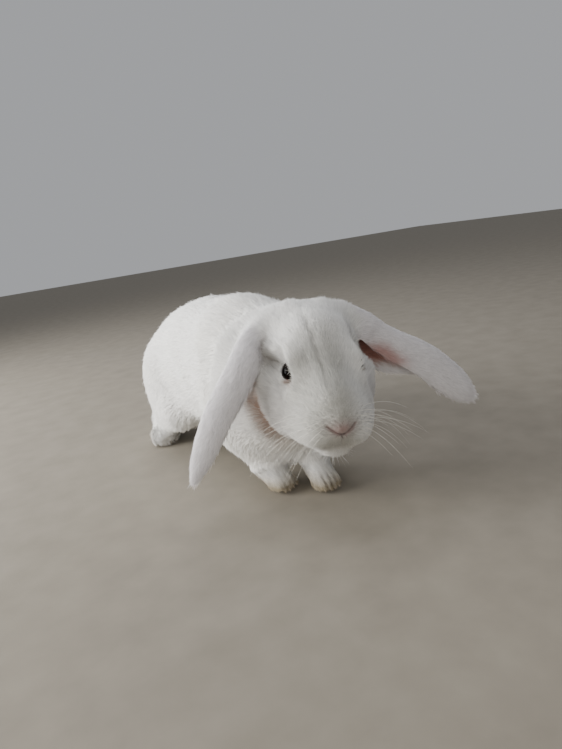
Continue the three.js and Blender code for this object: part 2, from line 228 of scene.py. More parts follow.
turns = [math.radians(v) for v in HEAD_TURN]
head_axes = np.array(
    Matrix.Rotation(turns[0], 3, "Z")
    @ Matrix.Rotation(turns[1], 3, "X")
    @ Matrix.Rotation(turns[2], 3, "Y")
)
eye_centres = [np.array(sum(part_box(name), Vector())) / 2 for name in EYES]
head_at = np.mean(eye_centres, axis=0) - head_axes @ (EYE_PLACE * [0, 1, 1]) * MM


def in_head(points):
    """Points of the scene, in millimetres along the head's directions."""
    return (points - head_at) @ head_axes / MM


def from_head(points):
    """The reverse of in_head."""
    return (np.asarray(points) * MM) @ head_axes.T + head_at


def eye_centre(side):
    """The centre of an eye in the head's directions. side is -1 for the right one and 1 for the left."""
    return EYE_PLACE * [side, 1, 1]


print("eyes in the head's directions:", np.round(in_head(np.array(eye_centres)), 2).tolist())

# %% [markdown]
# ## The skin, first without its face
#
# The solids meet at thin gaps, and a living skin has none. Each solid is grown until the gaps close,
# and a voxel remesh, which rebuilds a surface from a grid of little cubes, then melts them into one. A
# boolean union would keep every facet of the solids. An ear is too thin to be smoothed afterwards, so
# its facets are rounded first, by subdivision. The mesh is fine enough for the body but not for
# eyelids and nostrils, so it is subdivided there.


# %% The skin as one surface
def modified(mesh, kind, inputs=None, **settings):
    """A new mesh: this one after a modifier. inputs are those of a tree of Geometry Nodes, by name."""
    holder = placed("holder", mesh)
    modifier = holder.modifiers.new("change", kind)
    for key, value in settings.items():
        setattr(modifier, key, value)
    for key, value in (inputs or {}).items():
        modifier[modifier.node_group.interface.items_tree[key].identifier] = value
    evaluated = holder.evaluated_get(bpy.context.evaluated_depsgraph_get())
    changed = bpy.data.meshes.new_from_object(evaluated)
    bpy.data.objects.remove(holder)
    return changed


def grown(mesh, by, rounding=0):
    """A copy of a solid with its points merged, rounded by subdivision, and grown along its normals."""
    shape = bmesh.new()
    shape.from_mesh(mesh)
    bmesh.ops.remove_doubles(shape, verts=shape.verts, dist=1e-6)
    if rounding:
        flat = math.radians(50)
        bmesh.ops.join_triangles(
            shape, faces=shape.faces, angle_face_threshold=flat, angle_shape_threshold=flat
        )
    copy = bpy.data.meshes.new("copy")
    shape.to_mesh(copy)
    shape.free()
    if rounding:
        copy = modified(copy, "SUBSURF", levels=rounding, render_levels=rounding)
    points = np.array([v.co + v.normal * by for v in copy.vertices], np.float32)
    copy.vertices.foreach_set("co", points.ravel())
    return copy


VOXEL = 1.45 * MM
GROW = 0.35 * MM
EAR_GROW = 1.3 * MM  # an ear loses some of its thickness in the rounding

joined = bmesh.new()
for name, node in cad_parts.items():
    is_ear = name.startswith("ear")
    joined.from_mesh(grown(node.data, EAR_GROW if is_ear else GROW, 2 if is_ear else 0))
joined_mesh = bpy.data.meshes.new("joined")
joined.to_mesh(joined_mesh)
joined.free()
whole = modified(joined_mesh, "REMESH", mode="VOXEL", voxel_size=VOXEL)
print("skin:", len(whole.vertices), "vertices")

# %% Finer where the face needs it
NOSE_TIP = np.array([0.0, -67.0, -14.0])  # mm, in the head's directions
FINE = [(NOSE_TIP, 17), (NOSE_TIP, 14)]  # each subdivision: about which point, and how far round it, mm
for side in (-1, 1):
    FINE += [(eye_centre(side), 17), (eye_centre(side), 15)]

fine = bmesh.new()
fine.from_mesh(whole)
for centre, reach in FINE:
    where = Vector(from_head(centre))
    near = {v for v in fine.verts if (v.co - where).length < reach * MM}
    edges = [e for e in fine.edges if e.verts[0] in near and e.verts[1] in near]
    bmesh.ops.subdivide_edges(fine, edges=edges, cuts=1, use_grid_fill=True)
bmesh.ops.triangulate(fine, faces=fine.faces[:])
fine.to_mesh(whole)
fine.free()


def read(elements, field, width, kind):
    """One field of a mesh's vertices, edges or faces, a row for each."""
    values = np.empty(len(elements) * width, kind)
    elements.foreach_get(field, values)
    return values.reshape(-1, width)


skin_points = read(whole.vertices, "co", 3, float)
triangles = read(whole.polygons, "vertices", 3, np.int32)
edges = read(whole.edges, "vertices", 2, np.int32)
bpy.data.meshes.remove(whole)
neighbours = np.maximum(np.bincount(edges.ravel(), minlength=len(skin_points)), 1)
print("skin, refined:", len(skin_points), "vertices,", len(triangles), "triangles")

# %% [markdown]
# ## Which part is where
#
# Fur is long on the rump and short on the nose, so the script must know which part each point of the
# skin belongs to. The nearest solid tells. Values then spread from point to neighbouring point, so
# that no hard line shows where one part ends.


# %% Parts, and values that spread over the skin
def nearest_part(points):
    """The number in FLESH of the solid nearest to each point."""
    corners, faces, owner = [], [], []
    for number, name in enumerate(FLESH):
        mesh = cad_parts[name].data
        first = len(corners)
        corners += [v.co.copy() for v in mesh.vertices]
        faces += [[first + i for i in p.vertices] for p in mesh.polygons]
        owner += [number] * len(mesh.polygons)
    tree = BVHTree.FromPolygons(corners, faces)
    return np.array([owner[tree.find_nearest(Vector(p))[2]] for p in points])


def around(values):
    """The mean of each point's neighbours."""
    a, b = edges.T
    flat = values.reshape(len(skin_points), -1)
    mean = np.empty_like(flat)
    for i in range(flat.shape[1]):
        mean[:, i] = np.bincount(a, flat[b, i], len(flat)) + np.bincount(b, flat[a, i], len(flat))
    return (mean / neighbours[:, None]).reshape(values.shape)


def spread(values, times):
    """Values after they have run into their neighbours so many times."""
    for _ in range(times):
        values = (values + around(values)) / 2
    return values


def looked_up(table):
    """A table's value for each part in FLESH. Its keys leave out right and left."""
    return np.array([table[name.split("_")[0]] for name in FLESH], float)


def by_part(table):
    """A table's value for each point, softened where two parts meet."""
    return spread(looked_up(table)[part], SOFTENINGS)


def normals_of(points):
    """Unit normals of the skin's points."""
    a, b, c = (points[triangles[:, i]] for i in range(3))
    face = np.cross(b - a, c - a)
    total = np.zeros_like(points)
    for corner in range(3):
        for i in range(3):
            total[:, i] += np.bincount(triangles[:, corner], face[:, i], len(points))
    return unit(total)


def named(*starts):
    """The numbers of the parts whose names start with one of these."""
    return [number for number, name in enumerate(FLESH) if name.startswith(starts)]


def is_part(*starts):
    """1 where the nearest solid's name starts with one of these, and 0 elsewhere."""
    return np.isin(part, named(*starts)).astype(float)


SOFTENINGS = 14  # times that a part's value spreads over its borders
SMOOTHINGS = 60  # times that the points move towards their neighbours
part = nearest_part(skin_points)
SMOOTHING = dict(
    trunk=1.0, neck=0.9, head=0.26, tail=0.5, ear=0.05, foreleg=0.6, forepaw=0.2, hindleg=0.9, hindfoot=0.25
)
in_ear = is_part("ear")
ear_share = spread(in_ear, 26)
ear_root = np.clip(4 * ear_share * (1 - ear_share), 0, 1) ** 2  # 1 where an ear leaves the head
softness = np.clip(by_part(SMOOTHING) + 0.5 * ear_root, 0, 1)[:, None]
for _ in range(SMOOTHINGS):
    skin_points += softness * 0.5 * (around(skin_points) - skin_points)
print("points of the skin:", dict(zip(FLESH, np.bincount(part, minlength=len(FLESH)).tolist())))

# %% [markdown]
# ## Room for the coat
#
# The solids reach to the tips of the fur, so the skin lies inside them by the depth of the coat. A
# rabbit's is about a centimetre long, but it lies back and stands only a few millimetres high.

# %% The skin drawn in by the depth of the coat
COAT_DEPTH = dict(
    trunk=4.6, neck=4.6, head=2.6, tail=6.0, ear=1.3, foreleg=3.4, forepaw=1.6, hindleg=4.4, hindfoot=2.4
)
depth = by_part(COAT_DEPTH)
face = in_head(skin_points)
muzzle = smooth_step(46, 22, np.linalg.norm(face - NOSE_TIP, axis=1))
depth = depth * (1 - 0.45 * muzzle)
depth = spread(depth, 10)
normals = normals_of(skin_points)
skin_points -= normals * depth[:, None] * MM
skin_points = spread(skin_points, 2)
normals = normals_of(skin_points)
print("skin reaches", np.round(skin_points.min(0), 4), "to", np.round(skin_points.max(0), 4))

# %% [markdown]
# ## Relief of the head
#
# The solid head is a smooth mass. A living one has a brow over the eye, a hollow behind it where the
# jaw's muscle ends, full cheeks and whisker pads, a crease where the jaw meets the neck, and a furrow in
# the fur of the forehead. Each is a soft dent or rise, or a groove along a line, stated in the head's
# directions for the left side and mirrored. The furrow, which wanders to the right, isn't mirrored, and
# neither are a rise and a dent beside the left brow, where the ear is held up and draws on the skin.


# %% Relief of the head
def folded(face):
    """Points in the head's directions, with the right half mirrored to the left."""
    return np.abs(face) * [1, 0, 0] + face * [0, 1, 1]


def mound(points, centre, radii):
    """1 at the centre, and falling off softly over the radii."""
    return np.exp(-(((points - centre) / radii) ** 2).sum(1))


def mounds(points, table):
    """The rises and dents of a table, added up."""
    return sum(height * mound(points, centre, radii) for centre, radii, height in table)


def nearest_on(line, points):
    """The nearest point of a line, the line's direction there, and how far along it lies, 0 to 1."""
    best = np.full(len(points), 1e9)
    at, way, along = np.zeros_like(points), np.zeros_like(points), np.zeros(len(points))
    for i, (a, b) in enumerate(zip(line, line[1:])):
        t = np.clip(((points - a) @ (b - a)) / ((b - a) @ (b - a)), 0, 1)
        spot = a + t[:, None] * (b - a)
        far = np.linalg.norm(points - spot, axis=1)
        closer = far < best
        best[closer] = far[closer]
        at[closer], way[closer] = spot[closer], unit(b - a)
        along[closer] = (i + t[closer]) / (len(line) - 1)
    return at, way, along


def from_line(points, line):
    """How far points lie from a line, and how far along it their nearest spot is, from 0 to 1."""
    at, _, along = nearest_on(np.array(line, float), points)
    return np.linalg.norm(points - at, axis=1), along


def laid_on(points, line, stations=14):
    """The line with more stations, each of them moved to the nearest of the points."""
    at = np.linspace(0, len(line) - 1, stations)
    spots = np.array([np.interp(at, range(len(line)), values) for values in np.array(line, float).T]).T
    nearest = dict.fromkeys(int(np.linalg.norm(points - spot, axis=1).argmin()) for spot in spots)
    return points[list(nearest)]


RISES = [  # centre, radii, height, all mm
    ([25, -14, 17], [8, 11, 5.5], 1.5),  # brow
    ([37, 2.5, 7.5], [9, 8, 5.5], -3.8),  # hollow behind the eye
    ([36, 5, 18], [6, 8, 5], 1.6),  # back of the brow
    ([24, -28, 5], [8, 10, 12], 4.4),  # rise in front of the eye
    ([30, -18, -5], [8, 9, 4.5], -0.8),  # below the eye
    ([38, -4, -24], [12, 15, 13], 1.2),  # cheek
    ([41, 2, -7], [8, 9, 8], 2.6),  # top of the cheek, below the ear
    ([13, -57, -20], [6, 7, 6], 0.9),  # whisker pad
]
LEFT_RISES = [([24.5, -24, 8], [7, 8, 9], 2.6), ([28, -8, 23], [6, 11, 6], -3.0)]
JAW_DEEP, FURROW_DEEP = 2.6, 0.6  # mm
JAW_CREASE = [(53, -3, -2), (50, -3, -22), (46, -8, -33), (37.5, -11, -47), (28, -9, -57), (14, -6, -61)]
FURROW = [(-10.5, 20, 43), (-8, -7, 37), (-6.5, -20, 29), (-4.5, -43, 15), (-2, -56, 4)]
EAR_FOLD = [(31, -3, 9), (35.5, 2.5, 9.5), (39.5, 7.5, 12), (40.5, 10.5, 17), (39.5, 13, 22), (35, 17, 28)]

face = in_head(skin_points)
mirrored = folded(face)
relief = mounds(mirrored, RISES)
jaw_far, jaw_along = from_line(mirrored, JAW_CREASE)
jaw_line = bell(jaw_far, 5) * smooth_step(0, 0.12, jaw_along) * smooth_step(1, 0.7, jaw_along)
furrow_far, furrow_along = from_line(face, laid_on(face, FURROW))
furrow_fade = smooth_step(0, 0.2, furrow_along) * smooth_step(1, 0.6, furrow_along)
furrow = bell(furrow_far, 2.4) * furrow_fade
fold_far, fold_along = from_line(mirrored, EAR_FOLD)
ear_fold = bell(fold_far, 1.6 + 2.4 * fold_along) * smooth_step(1, 0.75, fold_along)
relief += mounds(face, LEFT_RISES)
relief -= JAW_DEEP * jaw_line + FURROW_DEEP * furrow
relief *= 1 - 0.8 * ear_share
relief -= (1.5 + 2 * fold_along) * ear_fold  # deeper on its way to the crown
skin_points += normals * (relief * MM)[:, None]
normals = normals_of(skin_points)
print("relief, mm:", round(relief.min(), 2), "to", round(relief.max(), 2))

# %% [markdown]
# ## The eyelids
#
# Lids are skin that lies on the eyeball. Seen from the centre of the eye, each point near it has a
# direction and a distance, and only the distance changes: just over the eyeball for the lids, inside
# it for the opening, and back to the face over a shallow fold. So the lids stay part of the skin.

# %% The eyelids
LID_LONG = 7.3  # half of the opening, along the lids, mm
FRONT_LONGER = 1.02  # the half towards the nose is so many times that
LID_HIGH = 4.1  # half of the opening, across the lids, mm
LID_RIM = 0.5  # the lid's rim stands so far over the eyeball, mm
CORNEA_RISE = 0.8  # a rabbit's cornea bulges over a third of the eye, mm
EYE_SIDE = 1.4  # as far round the eyeball as the skin has to cover it, radians
LID_REACH = 20  # farther than this from the eye's centre nothing is lid, mm


def eye_surface(angle):
    """How far the eyeball's surface lies from its centre, mm, so far from where the eye looks."""
    return EYE_RADIUS + CORNEA_RISE * bell(angle, 0.7)


def eye_directions(side):
    """The way an eye looks, the way to its front corner, and the way to its brow."""
    look = unit(np.array([side * 0.92, -0.37, 0.36]))
    front = np.array([-side * 0.416, -0.861, -0.43])
    front = unit(front - look * (front @ look))
    brow = np.cross(look, front) * -side
    return look, front, brow


def lid_coordinates(points, side):
    """Where points lie about an eye: 1 at the lids' rim, with their distance, direction and angle."""
    look, front, brow = eye_directions(side)
    away = in_head(points) - eye_centre(side)
    distance = np.linalg.norm(away, axis=1)
    way = away / np.maximum(distance[:, None], 1e-6)
    angle = np.arccos(np.clip(way @ look, -1, 1))
    across = unit(np.stack([way @ front, way @ brow], 1)) * (angle * EYE_RADIUS)[:, None]
    long = np.where(across[:, 0] > 0, LID_LONG * FRONT_LONGER, LID_LONG)
    ring = np.hypot(across[:, 0] / long, across[:, 1] / LID_HIGH)
    ahead = np.clip(across[:, 0] / np.maximum(angle * EYE_RADIUS, 1e-6), 0, 1)
    ring = np.where(ring > 1, 1 + (ring - 1) * (1 + 1.2 * ahead**2), ring)  # the face rises soon in front
    return ring, distance, way, angle


openings = []
for side in (-1, 1):
    ring, distance, way, angle = lid_coordinates(skin_points, side)
    rim = eye_surface(angle) + LID_RIM
    lid = rim + 0.5 * smooth_step(1.1, 1.5, ring) - 0.4 * bell(ring - 1.55, 0.15)
    lid = np.where(ring < 1, rim - 2.6 * smooth_step(1.0, 0.88, ring), lid)
    grip = smooth_step(2.1, 1.4, ring) * (distance < LID_REACH)
    wanted = distance * (1 - grip) + lid * grip
    covering = (ring > 1) & (angle < EYE_SIDE)  # nowhere does the eyeball come through the skin
    wanted = np.where(covering, np.maximum(wanted, rim), wanted)
    moved = from_head(eye_centre(side) + way * wanted[:, None])
    chosen = (grip > 0) | covering
    skin_points[chosen] = moved[chosen]
    openings.append(np.where(distance < LID_REACH, ring, 9.0))
opening = np.minimum(*openings)
print("points on the lids:", int((opening < 2.2).sum()))

# %% [markdown]
# ## Nose and mouth
#
# A rabbit's nostrils are two slits that rise from the middle, like the arms of a Y, and its foot is
# the cleft of the upper lip. Each line is a groove: the skin sinks along it, deepest in the middle.


# %% Nose and mouth
def nose_oval(middle, wide, high):
    """1 in the middle of the nose, at some height, and falling off over an oval."""
    return np.exp(-((x / wide) ** 2) - (((z - middle) / high) ** 2))


ARM = [(9.6 * t, -16.2 + 5.4 * t**1.5) for t in np.linspace(0, 1, 8)]  # a nostril's slit
CLEFT = [(0.0, -16.2), (0.0, -24.5)]
LIPS = [(11.0 * t, -24.5 - 5.5 * t**1.4) for t in np.linspace(0, 1, 8)]

face = in_head(skin_points)
at_front = smooth_step(-50, -56, face[:, 1])
x, z = np.abs(face[:, 0]), face[:, 2]
nostril, cleft, lips = (from_line(np.stack([x, z], 1), line)[0] for line in (ARM, CLEFT, LIPS))
groove = 1.2 * bell(nostril, 1.0) * (0.8 + 0.2 * smooth_step(5, 0, x))
groove += 0.4 * bell(cleft, 0.7) + 0.5 * bell(lips, 0.9)
pad = nose_oval(-11.5, 5.5, 3.4)
skin_points += normals * ((0.7 * pad - groove) * at_front * MM)[:, None]
normals = normals_of(skin_points)
print("deepest groove of nose and mouth, mm:", round(float((groove * at_front).max()), 2))

# %% [markdown]
# ## The ears' two faces
#
# A lop ear is a leaf rolled lengthwise. Its back is furred, and its inside is nearly bare and pink, so
# the colours need to know which is which. The inside faces the leaf's middle and is also hollow: the
# mean of the skin around a point there lies in front of the skin, and on the back it lies behind.


# %% The ears' two faces
def solid_axes(name):
    """A solid's points, their mean, and its three axes, the longest first."""
    points = np.array([v.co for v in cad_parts[name].data.vertices])
    centre = points.mean(0)
    return points, centre, np.linalg.svd(points - centre, full_matrices=False)[2]


def middle_line(name, stations=10):
    """Points down the middle of a long solid, from the end nearest the head to the other end."""
    points, centre, (along, _, _) = solid_axes(name)
    if (head_at - centre) @ along > 0:
        along = -along
    place = (points - centre) @ along
    slot = np.digitize(place, np.linspace(place.min(), place.max() + 1e-9, stations + 1)) - 1
    return np.array([points[slot == i].mean(0) for i in range(stations) if (slot == i).any()])


HOLLOW_FROM, HOLLOW_FULL = 0.1, 0.6  # mm that the mean lies in front of the skin
hollow = ((spread(skin_points, 90) - skin_points) * normals).sum(1) / MM
inner_ear = np.zeros(len(skin_points))
ear_reach = np.zeros(len(skin_points))
ear_way = np.zeros_like(skin_points)
for name in ("ear_right", "ear_left"):
    mine = part == FLESH.index(name)
    at, way, along = nearest_on(middle_line(name), skin_points[mine])
    facing = (normals[mine] * unit(skin_points[mine] - at)).sum(1)
    inner_ear[mine] = smooth_step(0.2, -0.25, facing) * smooth_step(HOLLOW_FROM, HOLLOW_FULL, hollow[mine])
    ear_reach[mine] = along
    ear_way[mine] = way
inner_ear = spread(inner_ear, 3)
inner_core = smooth_step(0.5, 0.9, spread(inner_ear, 20))  # clear of the furred rim
print("inside of the ears, points:", int((inner_ear > 0.5).sum()), "of", int(in_ear.sum()))

# %% [markdown]
# ## Toes
#
# Each foot ends in rounded toes that fur hides almost wholly. A shallow groove between one toe and the
# next is enough, and the claws will later leave the middle of each toe.

# %% Toes
FEET = {  # which way each foot points, in degrees to the animal's left; its toes; their grooves, mm
    "forepaw_right": (16, 4, 0.7),
    "forepaw_left": (-4, 4, 1.2),
    "hindfoot_right": (-12, 4, 0.8),
    "hindfoot_left": (12, 4, 0.8),
}
TOE_REACH = 11 * MM  # how far back the grooves run
toe_lines = {}
between_toes = np.zeros(len(skin_points))
for name, (heading, toes, groove_depth) in FEET.items():
    ahead = np.array([math.sin(math.radians(heading)), -math.cos(math.radians(heading)), 0])
    aside = np.array([-ahead[1], ahead[0], 0])
    mine = part == FLESH.index(name)
    front = (skin_points[mine] @ ahead).max()
    near = mine & (skin_points @ ahead > front - TOE_REACH)
    low, high = np.percentile(skin_points[near] @ aside, [3, 97])
    width = (high - low) / toes
    toe_lines[name] = (ahead, aside, low, width, toes)
    place = (skin_points[near] @ aside - low) / width
    gap = np.abs(place - np.clip(np.round(place), 1, toes - 1)) * width / MM
    back = (front - skin_points[near] @ ahead) / TOE_REACH
    between_toes[near] = groove_depth * bell(gap, 0.9) * smooth_step(1, 0.5, back)
between_toes *= smooth_step(0.5 * MM, 3 * MM, skin_points[:, 2])
skin_points -= normals * (between_toes * MM)[:, None]
normals = normals_of(skin_points)
print("deepest groove between toes, mm:", round(float(between_toes.max()), 2))

# %% [markdown]
# ## Markings and painted shade
#
# The coat is white all over. Its own colour comes from skin that shows through thin fur: pink inside
# the ears and on the nose, lilac grey on their backs, a brownish pink down the back edge of the jaw.
# The feet are stained a little by what they walk on. Shade is painted too: grey over the front of the
# face and the cheeks, and darker in the hollow behind each eye, round the lids, in the folds where the
# ears leave the head and beside the left brow, in the forehead's furrow and the jaw's crease, deep in
# the ears, in the nostrils and mouth, and between the toes.

# %% The whiskers' roots
WHISKER_ROWS = [  # height of the row on the pad, mm; how many; the longest, mm
    (-5.5, 3, 36),
    (-9.0, 4, 52),
    (-12.5, 4, 60),
    (-16.5, 4, 48),
]
whisker_roots = []  # on the left pad, in the head's directions, with each hair's row and rank
for row, (height, count, longest) in enumerate(WHISKER_ROWS):
    for rank in np.linspace(0, 1, count):
        whisker_roots.append(([11.5 + 5 * rank, -62 + 9 * rank, height], row, rank, longest))

face = in_head(skin_points)
mirrored = folded(face)
pad_points = mirrored[at_front > 0.01]
TEAR_LINE = [(27, -18, 2.8), (25.5, -23.5, 1.2), (24.5, -29.5, -1.4)]  # from the eye's front corner
tears_far, tears_along = from_line(mirrored, laid_on(mirrored, TEAR_LINE))
tears = bell(tears_far, 2.0) * smooth_step(1.0, 0.75, tears_along)
dots = np.zeros(len(skin_points))
for place, *_ in whisker_roots:
    nearest = pad_points[np.linalg.norm(pad_points - place, axis=1).argmin()]
    dots = np.maximum(dots, mound(mirrored, nearest, [0.7, 0.7, 0.7]))
print("whisker roots on each side:", len(whisker_roots))

# %% Markings and painted shade of skin and coat
COLOURS = dict(
    white="#f4f3f0",
    cream="#ece8dc",
    lilac="#f1edf1",
    # painted shade: the half-lit front of the face
    face_grey="#a6a49b",
    # painted shade: the cheeks' side planes, which turn away from the light
    cheek_grey="#b9b3b1",
    ear_pale="#dcc0b8",
    ear_pink="#cd9487",
    # the inside's pink, darkened with painted shade towards the ear's root
    ear_deep="#94675d",
    rim_pink="#b67f76",
    # brownish pink skin at the jaw's edge, with painted shade in its crease
    jaw_brown="#936749",
    # painted shade of hollows: behind each eye and round the lids
    socket_grey="#57514c",
    # painted shade in folds and grooves
    fold_brown="#6b5f5b",
    # painted shade in the forehead's furrow
    furrow_grey="#8f8c85",
    nose_pink="#937974",
    # reddish skin of nostrils and lips, darkened with painted shade of their grooves
    slit_red="#6d4c49",
    # dark rims of the lids and roots of the whiskers, and painted shade where the nostrils meet
    lid_dark="#1d1514",
    tear_pink="#86695f",
    foot_stain="#ab9a76",
)
TURNED_RIM = [(48, 18, 2), (56, 15, -1), (63, 14, -7), (72, 16, -14), (84, 18, -20)]  # of the left ear

off_ear = 1 - spread(in_ear, 2)
chest = spread(is_part("neck", "foreleg"), 40)
# where the face is greyed with painted shade: its front above the chin, mostly on its right side
greyed = smooth_step(5, -35, face[:, 1]) * smooth_step(-42, -24, face[:, 2])
greyed *= 1 - 0.8 * smooth_step(2, 18, face[:, 0])
# brownish pink along the jaw's crease, with painted shade in it
jaw_stain_and_shade = bell(jaw_far, 5.5) * smooth_step(1, 0.5, jaw_along)
# painted shade beside the left brow and behind it, towards the ear's root
shade_beside_brow = 0.75 * mound(face, [27.5, -1, 25.5], [5.5, 9, 4.5])
shade_beside_brow += 0.5 * mound(face, [41, 19, 13.5], [7, 6, 5])
rim_far, rim_along = from_line(face, TURNED_RIM)
turned_rim = bell(rim_far, 6) * smooth_step(1, 0.4, rim_along) * is_part("ear_left")
rim_shade = smooth_step(1.3, 1.1, opening) * np.where(face[:, 0] > 0, 0.4, 1)  # paler on the left
on_slit = at_front * bell(nostril, 1.2)
low_down = smooth_step(20 * MM, 3 * MM, skin_points[:, 2])

layers = [  # the colour and how much of it, each over the one before
    ("cream", chest * 0.2),
    # painted shade over the face's front, mostly its right side
    ("face_grey", greyed * off_ear * 0.75),
    # painted shade on both cheeks, below and behind the eyes
    ("cheek_grey", mound(mirrored, [36, -22, -22], [14, 26, 26]) * 0.5),
    # brownish pink and painted shade along the jaw's crease
    ("jaw_brown", jaw_stain_and_shade * off_ear * 0.85),
    # painted shade in the hollow behind each eye
    ("socket_grey", mound(mirrored, [37.5, 2.5, 8], [8.5, 8.5, 6.5]) * off_ear),
    # painted shade beside the left brow
    ("fold_brown", shade_beside_brow),
    # painted shade in the forehead's furrow
    ("furrow_grey", furrow * 0.38),
    ("lilac", spread(in_ear, 8) * 0.7),
    ("ear_pale", inner_ear),
    ("ear_pink", inner_core * smooth_step(1.0, 0.75, ear_reach)),
    # painted shade deep in the ear, towards its root
    ("ear_deep", inner_core * smooth_step(0.6, 0.1, ear_reach) * 0.9),
    ("rim_pink", spread(turned_rim, 2) * 0.8),
    # painted shade in the fold where each ear leaves the head
    ("fold_brown", ear_fold * 0.8),
    # painted shade round the lids, darker towards the opening
    ("socket_grey", smooth_step(2.3, 1.3, opening) * 0.35),
    ("lid_dark", rim_shade),
    ("nose_pink", at_front * nose_oval(-12, 8, 5) * 0.9),
    # the nostrils: reddish skin and painted shade in the slits
    ("slit_red", on_slit * 0.75),
    # painted shade where the two nostril slits meet
    ("lid_dark", on_slit * smooth_step(3.5, 0, x) * 0.7),
    ("lid_dark", dots * 0.55),
    ("tear_pink", tears * 0.85),
    # the lips' red with painted shade along the cleft and the mouth
    ("slit_red", at_front * bell(np.minimum(cleft, lips), 0.9) * 0.15),
    ("foot_stain", low_down * (0.15 + 0.8 * spread(is_part("forepaw"), 10))),
    # painted shade in the grooves between the toes
    ("fold_brown", between_toes * 0.3),
]
# the skin's colours: its markings, with the painted shade of the layers above
marking = np.tile(linear(COLOURS["white"]), (len(skin_points), 1))
for colour, amount in layers:
    marking = marking + (linear(COLOURS[colour]) - marking) * np.clip(amount, 0, 1)[:, None]
print("markings, layers:", len(layers))

# %% [markdown]
# ## The lie of the coat
#
# Fur points away from the nose, back over the body, down the legs, forward over the toes and out to
# the tips of the ears. Each part states its own way, in the scene's directions, and the ways then
# spread over the skin and are laid flat on it.

# %% The lie of the coat
LIE = dict(
    trunk=[0, 1, -0.22],
    neck=[0, 1, -0.35],
    tail=[0, 0.3, 1.0],
    hindleg=[0, 0.75, -0.65],
    foreleg=[0, 0.15, -1.0],
    forepaw=[0, -1.0, -0.25],
    hindfoot=[0, -1.0, -0.1],  # and a little outward
    head=[0, 0, 0],  # away from the nose instead
    ear=[0, 0, 0],  # out along its own line instead
)
lie = looked_up(LIE)[part]
lie[:, 0] += 0.2 * np.sign(skin_points[:, 0]) * is_part("hindfoot")
lie = np.where(is_part("ear")[:, None] > 0, ear_way, lie)
from_nose = unit(skin_points - from_head(NOSE_TIP)) + 0.25 * head_axes[:, 1]
lie = np.where(is_part("head")[:, None] > 0, from_nose, lie)
lie = unit(spread(unit(lie), 12))
fringe = mound(face, [0, -34, -50], [17, 15, 12])  # the beard under the chin hangs straight down
lie = lie + fringe[:, None] * np.array([0, 0, -3.0])
near_lids = smooth_step(2.6, 1.1, opening)
eye_beside = np.where(face[:, :1] > 0, eye_centre(1), eye_centre(-1))
from_eye = unit(face - eye_beside)
lie = lie + smooth_step(1.8, 1.1, opening)[:, None] * (from_eye @ head_axes.T)  # fur parts round it
lie = unit(lie - normals * (lie * normals).sum(1)[:, None])
print("share of the skin whose fur points back:", round(float((lie[:, 1] > 0).mean()), 2))

# %% [markdown]
# ## Materials
#
# Hair and skin share one attribute for their markings and their painted shade, so they can't disagree.
# White fur is white because light scatters from hair to hair: it is matt, with a faint sheen at grazing
# angles.


# %% Fur and skin materials
KERATIN_IOR = 1.55  # of hair, whiskers and claws


def marked_material(name, shade, roughness, sheen, grain_mm, grain_depth):
    """A matt material whose colour is the markings and painted shade, broken up by a fine grain."""
    material, tree = new_material(name)
    place = add_node(tree, "ShaderNodeTexCoord").outputs["Object"]
    marks = add_node(tree, "ShaderNodeAttribute", attribute_name="marking").outputs["Color"]
    grain = add_node(
        tree, "ShaderNodeTexNoise", {"Vector": place, "Scale": 1 / (grain_mm * MM), "Detail": 3.0}
    ).outputs["Fac"]
    light = add_node(tree, "ShaderNodeMapRange", {"Value": grain, "To Min": shade, "To Max": 1.0})
    colour = add_node(
        tree, "ShaderNodeVectorMath", {0: marks, 1: light.outputs["Result"]}, operation="MULTIPLY"
    )
    bump = add_node(
        tree, "ShaderNodeBump", {"Height": grain, "Distance": grain_depth * MM, "Strength": 0.6}
    )
    inputs = {
        "Base Color": colour.outputs["Vector"],
        "Normal": bump.outputs["Normal"],
        "Roughness": roughness,
        "Sheen Weight": sheen,
        "Sheen Roughness": 0.6,
        "IOR": KERATIN_IOR,
        "Specular IOR Level": 0.2,
    }
    shader = add_node(tree, "ShaderNodeBsdfPrincipled", inputs)
    add_node(tree, "ShaderNodeOutputMaterial", {"Surface": shader.outputs[0]})
    return material


skin_material = marked_material("skin_with_down", 0.94, 0.75, 0.1, 0.6, 0.25)
coat_material = marked_material("white_fur", 0.93, 0.8, 0.25, 0.35, 0.05)

MOST_TRIANGLES = 190_000  # in one piece
skin = mesh_piece("skin", skin_points, triangles, skin_material)
paint(skin, marking)
skin.data = modified(skin.data, "DECIMATE", ratio=MOST_TRIANGLES / len(triangles))
skin.data.name = "skin"
print("skin:", len(skin.data.polygons), "triangles, area in mm2:", end=" ")
print(round(sum(p.area for p in skin.data.polygons) / MM**2))

# %% [markdown]
# ## An unwrap of the skin
#
# A bake needs each lock of fur to know its place on a flat map. Each part is unrolled about its own
# long axis, as a label comes off a bottle, into its own square of the map.

# %% The skin's map
TILES = FLESH + ["ear_right_inside", "ear_left_inside"]
PER_ROW = math.ceil(math.sqrt(len(TILES)))
TILE = 1 / PER_ROW
TILE_RIM = 0.012
print("tiles of the map:", len(TILES), "with", PER_ROW, "in a row")

long_axes = {}
for name in FLESH:
    points, centre, axes = solid_axes(name)
    reach = (points - centre) @ axes[0]
    long_axes[name] = (centre, axes, reach.min(), reach.max())


